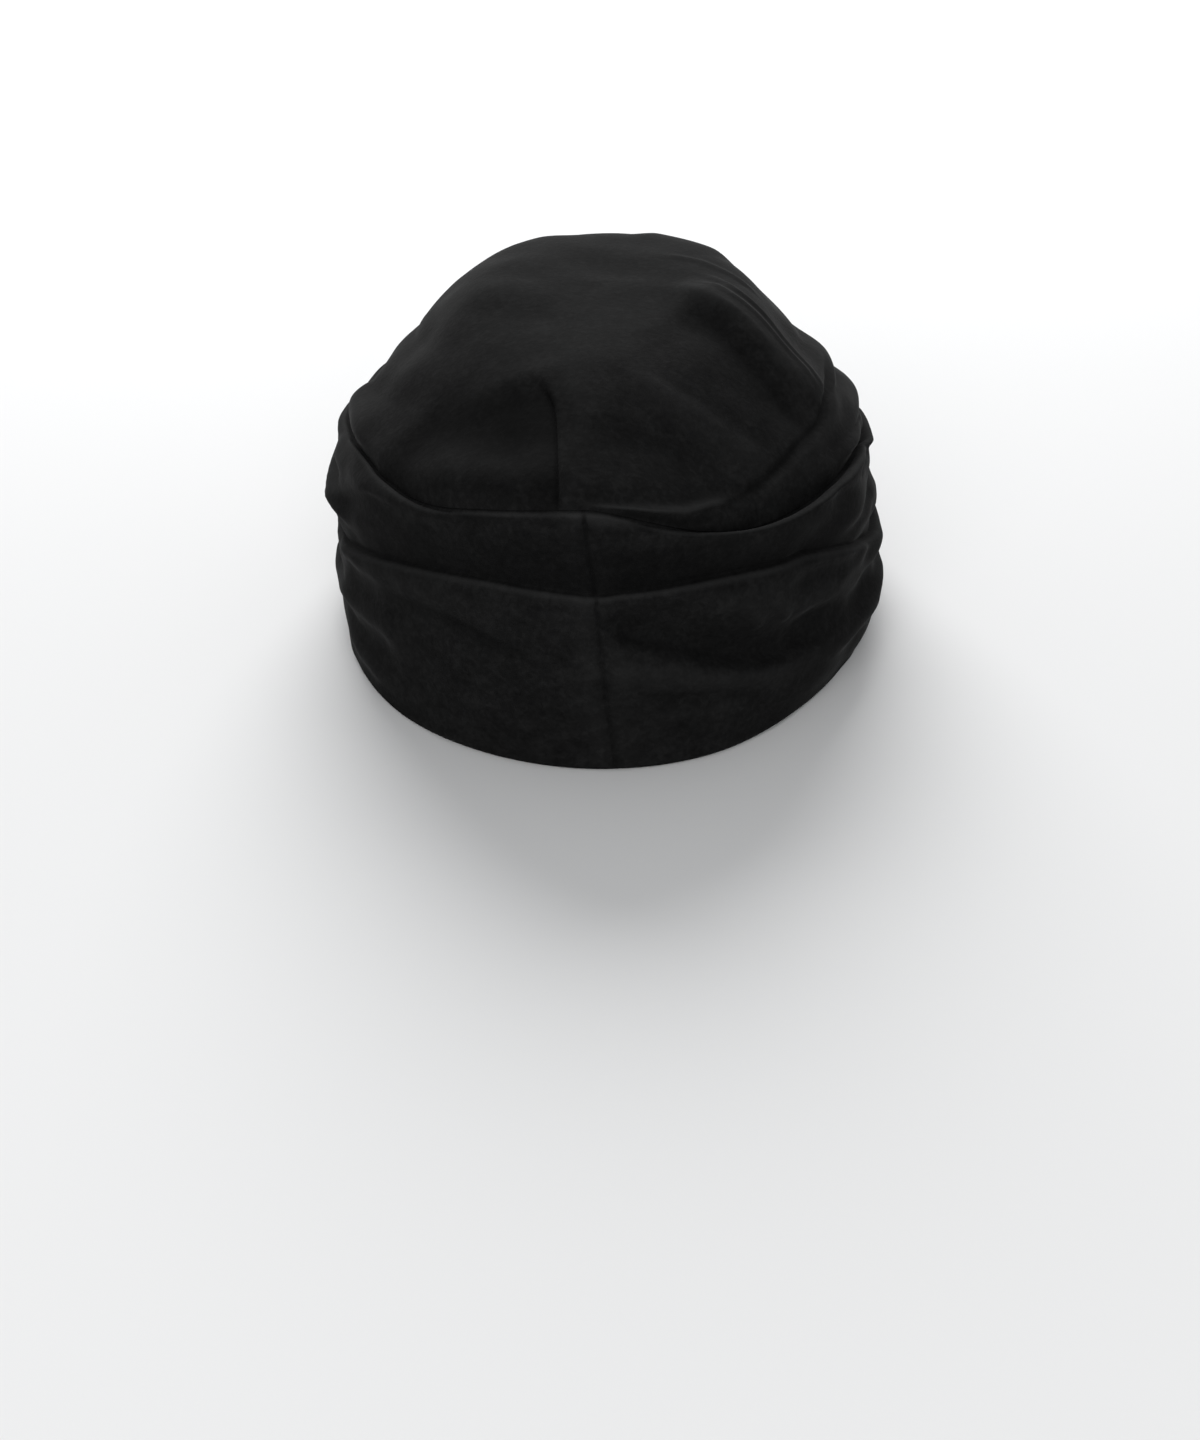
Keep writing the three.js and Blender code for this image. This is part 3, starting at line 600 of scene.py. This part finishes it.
crown = {
    "inset": (0.8, 0.8, 0.8, 0.4, 0.4, 0.6, 0.8, 0.8),  # how far it stands in from the cloth of the lip
    "gap": 0.3,
    "footHeights": (58, 66, 75.6, 81, 83.5, 75.6, 72.4, 61),  # the lip without its small dips, for the dome
    "footBlend": 0.3,
    "thickness": 1.8,
    "top": (3, 6, 107.6),
    "reach": (1, 0.985, 0.93, 0.84, 0.72, 0.56, 0.33, 0),  # from the lower edge to the top
    "rise": (0, 0.12, 0.25, 0.41, 0.66, 0.86, 0.965, 1),
    "swellShares": (0, 0.2, 0.4, 0.6, 0.8, 1),
    "swell": [  # how much fuller the cloth is at those shares of the way up; columns as the band's
        (0, 0, 0, 0, 0, 0, 0, 0),
        (0, 2.4, 1.4, 1.8, 0.8, 0, 0, 2.6),
        (1.5, 1.2, 1, 1.2, 0.5, 0, 0, 4.6),
        (5, -0.4, 0, 0, 0, 0, 0, 0.8),
        (3.6, 3, 0.5, 0, 0, 0, 0.5, 3),
        (0, 0, 0, 0, 0, 0, 0, 0),
    ],
    "gathers": [  # on the flanks just above the lip, as the band's creases
        ([(-100, 75.5), (-80, 77), (-58, 78)], 4, 4, 1.2),
        ([(-132, 73.5), (-112, 73), (-86, 72.5)], 5, 5, -4.4),
        ([(60, 70), (88, 69), (116, 67)], 3.4, 3.4, 2.4),
        ([(62, 83), (87, 82), (112, 81)], 4, 5, 0.7),
        (thinFold, 0.9, 0.9, 1.7),
        ([(22, 75.8), (31.5, 76), (38, 76.8), (50, 78.4), (63, 78.6), (78, 81), (98, 82)], 2.6, 0.8, 0.9),
        (
            [(22, 78.6), (27, 78), (32, 77.9), (38, 78.6), (49, 80.2), (62, 80.4), (75, 83), (98, 84)],
            0.9, 0.9, -0.9,
        ),
    ],
    "folds": [  # as the creases, but along lines of x and y
        ([(22, 4), (28, -6), (38, -14), (48, -22), (58, -28), (70, -32)], 4.5, 11, 2.4),
        ([(22, -15), (32, -22), (41, -32), (50, -42), (60, -53)], 17, 5, -3),
        ([(30, -9), (40, -18), (50, -27), (58, -36)], 1.5, 1.5, 0.5),
        ([(27, 4), (38, -8), (49, -16), (60, -25), (66, -29)], 1.3, 1.5, 0.6),
        ([(28, 14), (40, -2), (50, -9.5), (61, -21), (68, -26)], 1.4, 1.6, 0.7),
        ([(16, 28), (31, 22), (41, 15), (50, 6)], 1.6, 1.8, 0.6),
        ([(-8, 60), (-25, 52), (-40, 42), (-54, 24)], 10, 10, 1.7),
        ([(10, 60), (28, 50), (42, 38)], 9, 9, 1.6),
        ([(6, -56), (16, -63), (24, -66.5), (36, -69), (52, -70)], 8, 4, 1.5),
        ([(-62, -54), (-48, -68), (-36, -78), (-24, -87), (-12, -95)], 10, 13, -2),
        ([(-6, -48), (-14, -55), (-26, -60), (-40, -56)], 6, 6, 0.5),
    ],
    "paintedLightLines": [  # painted light along lines as the gathers': painted highlight where positive, painted shade where negative
        (thinFold, 0.6, 0.6, 0.2),
        ([(-1, 84), (3, 83), (6.5, 81.6), (10, 79.8), (14, 77.8), (18, 76.4), (24, 75.6)], 1.3, 1, -0.55),
        ([(18, 79), (27, 78), (32, 77.9), (38, 78.6), (49, 80.2), (62, 80.4), (75, 83)], 0.8, 0.8, -0.4),
    ],
    "shades": [  # painted shade where negative and painted highlight where positive, along lines of x and y
        ([(-56, -50), (-42, -61), (-28, -70), (-15, -75)], 14, 9, -0.3),
        ([(-2, -72), (5, -80), (14, -84), (28, -82)], 6, 5, -0.22),
        ([(-9, -52), (-6, -65), (-4, -76), (-2, -90)], 4, 4, 0.06),
    ],
    "hollowPaintedShade": 0.1,  # painted shade for each mm that a fold lies in
    "ridgeNap": 0.08,  # painted highlight for each mm that it stands out
    "paintedLightRange": (-0.35, 0.2),
    "gatherTop": 95,  # the side gathers fade out below this height
    "gatherFade": 12,
    "dart": {
        "back": (-112, -95, -75, -67, -60, -52),  # y along it, and x there
        "side": (-11.5, -12, -13.2, -15, -18.6, -25),
        "drop": 1.6,
        "edge": 0.3,
        "spread": 24,
        "groove": 0.8,
        "grooveWidth": 0.9,
        "end": -55,
        "fade": 17,
        "paintedLight": -0.3,  # painted shade left of it
        "nearPaintedShade": -0.22,  # more painted shade close to it
        "nearPower": 16,
        # painted shade in its groove
        "groovePaintedShade": -0.2,
    },
    "slack": {"seed": 8, "lengths": (18, 30, 46), "height": 0.5},
    "squareShare": 2 / 13,  # up to here the cloth is held level and square in the fold behind the lip
    "rows": 116,
    "rowPower": 1.35,  # closer rows near the lip
    "innerRows": 16,
    "flat": (0.22, 0.27),  # metres: the oval that the crown is cut from, with its dart
    "flatArea": 0.044,  # square metres
}


# how far folds push the cloth, and its painted light and shade: folds are creases in plan; left of the dart
# the cloth drops and comes back further off, a sewn groove runs along it, and painted shade darkens the cloth
# left of it and in the groove
def crownPush(turn, points):
    x, y, z = points[..., 0], points[..., 1], points[..., 2]
    push = turnedCreases(crown["gathers"], turn, z) + creasePush(crown["folds"], x, y)
    push = push + gatherPush(turn, z) * smooth((crown["gatherTop"] - z) / crown["gatherFade"])
    paintedLight = np.clip(np.where(push < 0, crown["hollowPaintedShade"], crown["ridgeNap"]) * push, *crown["paintedLightRange"])
    paintedLight = paintedLight + turnedCreases(crown["paintedLightLines"], turn, z) + creasePush(crown["shades"], x, y)
    dart = crown["dart"]
    left = cubicThrough(dart["back"], dart["side"], y) - x
    ends = smooth((dart["end"] - y) / dart["fade"])
    beside = smooth((left + dart["edge"]) / (2 * dart["edge"]))
    beside = beside * np.exp(-((np.maximum(left, 0) / dart["spread"]) ** 2))
    groove = np.exp(-((left / dart["grooveWidth"]) ** 2))
    near = beside ** dart["nearPower"]
    paintedLight = paintedLight + ends * (dart["paintedLight"] * beside + dart["nearPaintedShade"] * near + dart["groovePaintedShade"] * groove)
    return push - ends * (dart["drop"] * beside + dart["groove"] * groove), paintedLight


# reach is the share of the way out from the top to the lower edge and rise the share of the way up;
# both are cubics of the row's share, and the folds then push the cloth away from the head's centre;
# the small dips of the lip only shape the lowest cloth
def crownAt(turn, share):
    footOut, footZ = lipPocket(turn)
    _, depth, _, step = tuckAt(lip, turn)
    plainZ = roundTheCap(crown["footHeights"], turn) + step
    inset = roundTheCap(crown["inset"], turn)
    plain = placeAt(turn, swellAt(turn, plainZ) - depth - inset, plainZ - lip["pocket"] * depth)
    edge = placeAt(turn, footOut - inset, footZ + crown["gap"])
    edge = plain + (edge - plain) * (1 - smooth(share / crown["footBlend"]))[..., None]
    places = np.linspace(0, 1, len(crown["reach"]))
    reach = cubicThrough(places, crown["reach"], share)[..., None]
    rise = cubicThrough(places, crown["rise"], share)
    top = np.array(crown["top"], float)
    points = top + (edge - top) * reach
    points[..., 2] = edge[..., 2] + (top[2] - edge[..., 2]) * rise
    free = smooth(share / crown["squareShare"])
    away = points - np.array(cap["headCentre"], float)
    away[..., 2] *= free
    away /= np.linalg.norm(away, axis=-1, keepdims=True)
    turn, share = np.broadcast_arrays(turn, share)
    rows = np.stack([roundTheCap(row, turn) for row in crown["swell"]])
    points = points + away * cubicThrough(crown["swellShares"], rows, share)[..., None]
    push, paintedLight = crownPush(turn, points)
    push = push + slackIn(points, **crown["slack"])
    return points + away * (push * free)[..., None], away, paintedLight


# rows from the top down the outer face and up again inside, with a pole at each end
def makeCrown():
    turn = turnColumns()
    down = np.linspace(1, 0, crown["rows"] + 1)[None, 1:] ** crown["rowPower"]
    up = np.linspace(0, 1, crown["innerRows"] + 1)[None, :-1]
    outer, _, paintedLight = crownAt(turn, down)
    points, away, _ = crownAt(turn, up)
    inner = points - crown["thickness"] * away
    pole, poleAway, _ = crownAt(np.zeros((1, 1)), np.ones((1, 1)))
    poles = [pole[0, 0], pole[0, 0] - crown["thickness"] * poleAway[0, 0]]
    grid = np.concatenate([outer, inner], 1)[:, ::-1]
    piece = meshFromGrid("crown_cloth", grid, poles=poles[::-1])
    # painted light and shade on the outer face only
    paintedLight = np.concatenate([paintedLight, np.zeros(inner.shape[:2])], 1)[:, ::-1]
    storeOn(piece, "paintedLight", np.concatenate([paintedLight.ravel(), [0, 0]]))
    return piece


peak = {
    "reach": 46,
    "halfSpan": 62,  # degrees each side of the centre front
    "thickness": 2.4,
    "roundness": 1.15,  # 1 would be a plain cosine
    "slope": 1.2,  # 1 would be a straight fall
    "gap": 0.3,
    "columns": 140,
    "rows": 30,
    "noseRows": 7,
}


# each section runs from under the hem to the outer edge: length is reach * cos^roundness of the place
# along the span, height falls as share^slope, and half a circle closes the edge
def makePeak():
    off = np.linspace(1, -1, peak["columns"])[:, None] * peak["halfSpan"]
    turn = 180 + off
    spread = np.maximum(np.cos(np.pi / 2 * off / peak["halfSpan"]), 0)
    rootOut = swellAt(turn, np.zeros_like(turn)) - band["hemThickness"] + peak["gap"]
    root = placeAt(turn, rootOut, np.zeros_like(turn))
    square = np.array([cap["hemHalfWidth"], cap["hemHalfDepth"]], float) ** 2
    forward = root[..., :2] / square
    forward /= np.linalg.norm(forward, axis=-1, keepdims=True)
    forward = forward + (0, 1)
    forward /= np.linalg.norm(forward, axis=-1, keepdims=True)
    length = band["hemThickness"] / 2 + peak["reach"] * spread ** peak["roundness"]
    share = np.linspace(0, 1, peak["rows"])[None, :]
    rootTop = root[..., 2] - peak["gap"]
    height = rootTop + (peak["thickness"] - rootTop) * share ** peak["slope"]
    plan = root[..., :2] + forward * (length * share)[..., None]
    top = np.concatenate([plan, height[..., None]], -1)
    low = np.maximum(height - peak["thickness"], 0)
    bottom = np.concatenate([plan, low[..., None]], -1)[:, ::-1]
    half = peak["thickness"] / 2
    angle = np.linspace(np.pi / 2, -np.pi / 2, peak["noseRows"] + 2)[None, 1:-1]
    nosePlan = plan[:, -1:] + forward * (half * np.cos(angle))[..., None]
    noseZ = np.broadcast_to(half + half * np.sin(angle), nosePlan.shape[:2])
    nose = np.concatenate([nosePlan, noseZ[..., None]], -1)
    grid = np.concatenate([top, nose, bottom], 1)
    piece = meshFromGrid("peak_cloth", grid, closeColumns=False, closeRows=True)
    storeOn(piece, "paintedLight", np.zeros(len(piece.data.vertices)))
    return piece


# sRGB hex to linear red, green, blue, alpha
def linear(code):
    parts = np.array([int(code[i:i + 2], 16) for i in (1, 3, 5)]) / 255
    parts = np.where(parts <= 0.04045, parts / 12.92, ((parts + 0.055) / 1.055) ** 2.4)
    return (*parts.tolist(), 1.0)


# one node: a setting is an input's value where the node has such an input, or else the node's own property
def addNode(tree, kind, settings=None, links=None):
    node = tree.nodes.new(kind)
    for name, value in (settings or {}).items():
        if isinstance(name, int) or name in node.inputs:
            node.inputs[name].default_value = value
        else:
            setattr(node, name, value)
    for name, socket in (links or {}).items():
        tree.links.new(socket, node.inputs[name])
    return node


suede = {
    "deep": "#0b0b0b",
    "deepAt": 0.29,
    "plain": "#131313",
    "plainAt": 0.5,
    "brushed": "#1c1c1c",
    "brushedAt": 0.72,
    # painted highlight and painted shade, mixed into the colour along ridges, folds and hollows
    "paintedHighlight": "#383838",
    "paintedShade": "#050505",
    "bloom": "#b6b6b6",
    "patchSize": 9,  # mm, where the nap lies another way
    "brushing": (1, 1, 1.6),  # patches are longer than high, because the cloth was brushed round the cap
    "strokeSize": 1.8,  # mm, marks of single strokes
    "fibreSize": 0.8,  # mm; the real fibres are finer, drawn as coarse as the picture can show
}


# brushed faux suede: dyed microfibre with a short nap, nearly black face on, a grey bloom at grazing
# angles, patches lighter or darker where the nap was stroked, and painted highlights and painted shade in its
# colour
def makeSuede():
    material = bpy.data.materials.new("brushed_black_faux_suede")
    material.use_nodes = True
    tree = material.node_tree
    tree.nodes.clear()
    where = addNode(tree, "ShaderNodeTexCoord").outputs["Object"]
    across = addNode(tree, "ShaderNodeMapping", {"Scale": suede["brushing"]}, {"Vector": where})
    patch = addNode(tree, "ShaderNodeTexNoise", {
        "Scale": 1 / (suede["patchSize"] * mm),
        "Detail": 4.0,
        "Roughness": 0.62,
    }, {"Vector": across.outputs["Vector"]})
    stroke = addNode(tree, "ShaderNodeTexNoise", {
        "Scale": 1 / (suede["strokeSize"] * mm),
        "Detail": 2.0,
        "Distortion": 0.6,
    }, {"Vector": where})
    fibre = addNode(tree, "ShaderNodeTexNoise", {
        "Scale": 1 / (suede["fibreSize"] * mm),
        "Detail": 3.0,
        "Roughness": 0.7,
    }, {"Vector": where})
    # a Mix node's numbers are its inputs 2 and 3, and its colours 6 and 7
    both = addNode(tree, "ShaderNodeMix", {"data_type": "FLOAT", "Factor": 0.5}, {
        2: patch.outputs["Fac"],
        3: stroke.outputs["Fac"],
    })
    ramp = addNode(tree, "ShaderNodeValToRGB", {}, {"Fac": both.outputs[0]})
    stops = ramp.color_ramp.elements
    stops[0].position = suede["deepAt"]
    stops[0].color = linear(suede["deep"])
    stops[1].position = suede["brushedAt"]
    stops[1].color = linear(suede["brushed"])
    stops.new(suede["plainAt"]).color = linear(suede["plain"])
    fine = addNode(tree, "ShaderNodeBump", {"Strength": 0.2, "Distance": 0.3 * mm}, {
        "Height": fibre.outputs["Fac"],
    })
    soft = addNode(tree, "ShaderNodeBump", {"Strength": 0.15, "Distance": 0.6 * mm}, {
        "Height": stroke.outputs["Fac"],
        "Normal": fine.outputs["Normal"],
    })
    # painted light: the colour goes towards painted shade where the point's value is below nought, towards a
    # painted highlight above it
    paintedLight = addNode(tree, "ShaderNodeAttribute", {"attribute_name": "paintedLight"}).outputs["Fac"]
    below = addNode(tree, "ShaderNodeMath", {"operation": "MULTIPLY", "use_clamp": True, 1: -1.0}, {0: paintedLight})
    flat = addNode(tree, "ShaderNodeMix", {"data_type": "RGBA", 7: linear(suede["paintedShade"])}, {
        "Factor": below.outputs[0],
        6: ramp.outputs["Color"],
    })
    paintedHighlightMix = addNode(tree, "ShaderNodeMix", {"data_type": "RGBA", 7: linear(suede["paintedHighlight"])}, {
        "Factor": paintedLight,
        6: flat.outputs[2],
    })
    shader = addNode(tree, "ShaderNodeBsdfPrincipled", {
        "Roughness": 0.92,
        "IOR": 1.45,
        "Specular IOR Level": 0.05,
        "Sheen Weight": 0.085,
        "Sheen Roughness": 0.25,
        "Sheen Tint": linear(suede["bloom"]),
    }, {"Base Color": paintedHighlightMix.outputs[2], "Normal": soft.outputs["Normal"]})
    addNode(tree, "ShaderNodeOutputMaterial", {}, {"Surface": shader.outputs["BSDF"]})
    return material


pieces = {"crown": makeCrown(), "gathered_band": makeBand(), "peak": makePeak()}
print("pieces:", {name: len(piece.data.polygons) for name, piece in pieces.items()})
blackSuede = makeSuede()
for node, piece in pieces.items():
    piece.data.materials.append(blackSuede)
    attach(piece, "root")
    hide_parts(node)
print("cloth dressed")

studio = {
    "floor": "#e8e8e8",
    "floorSize": 8,
    "air": "#f4f6f8",
    "airStrength": 0.38,
    "lamps": [  # name, place, aim, size, watts
        ("overhead", (-0.15, 1.7, 1.2), (0, 0.1, 0), 1.8, 54),
        ("fill", (-0.2, -1.8, 0.8), (0, -0.05, 0.06), 1.8, 22),
    ],
}


def makeStudio():
    half = studio["floorSize"] / 2
    mesh = bpy.data.meshes.new("floor")
    corners = [(-half, -half, 0), (half, -half, 0), (half, half, 0), (-half, half, 0)]
    mesh.from_pydata(corners, [], [(0, 1, 2, 3)])
    floor = bpy.data.objects.new("floor", mesh)
    scene.collection.objects.link(floor)
    paper = bpy.data.materials.new("matt_paper")
    paper.use_nodes = True
    shader = paper.node_tree.nodes["Principled BSDF"]
    shader.inputs["Base Color"].default_value = linear(studio["floor"])
    shader.inputs["Roughness"].default_value = 0.9
    shader.inputs["Specular IOR Level"].default_value = 0.1
    mesh.materials.append(paper)
    world = bpy.data.worlds.new("studio")
    world.use_nodes = True
    air = world.node_tree.nodes["Background"]
    air.inputs["Color"].default_value = linear(studio["air"])
    air.inputs["Strength"].default_value = studio["airStrength"]
    scene.world = world
    for name, place, aim, size, watts in studio["lamps"]:
        data = bpy.data.lights.new(name, "AREA")
        data.shape = "DISK"
        data.size = size
        data.energy = watts
        lamp = bpy.data.objects.new(name, data)
        lamp.location = place
        lamp.rotation_euler = (Vector(place) - Vector(aim)).to_track_quat("Z", "Y").to_euler()
        scene.collection.objects.link(lamp)
    scene.view_settings.view_transform = "Standard"


makeStudio()
print("studio set")
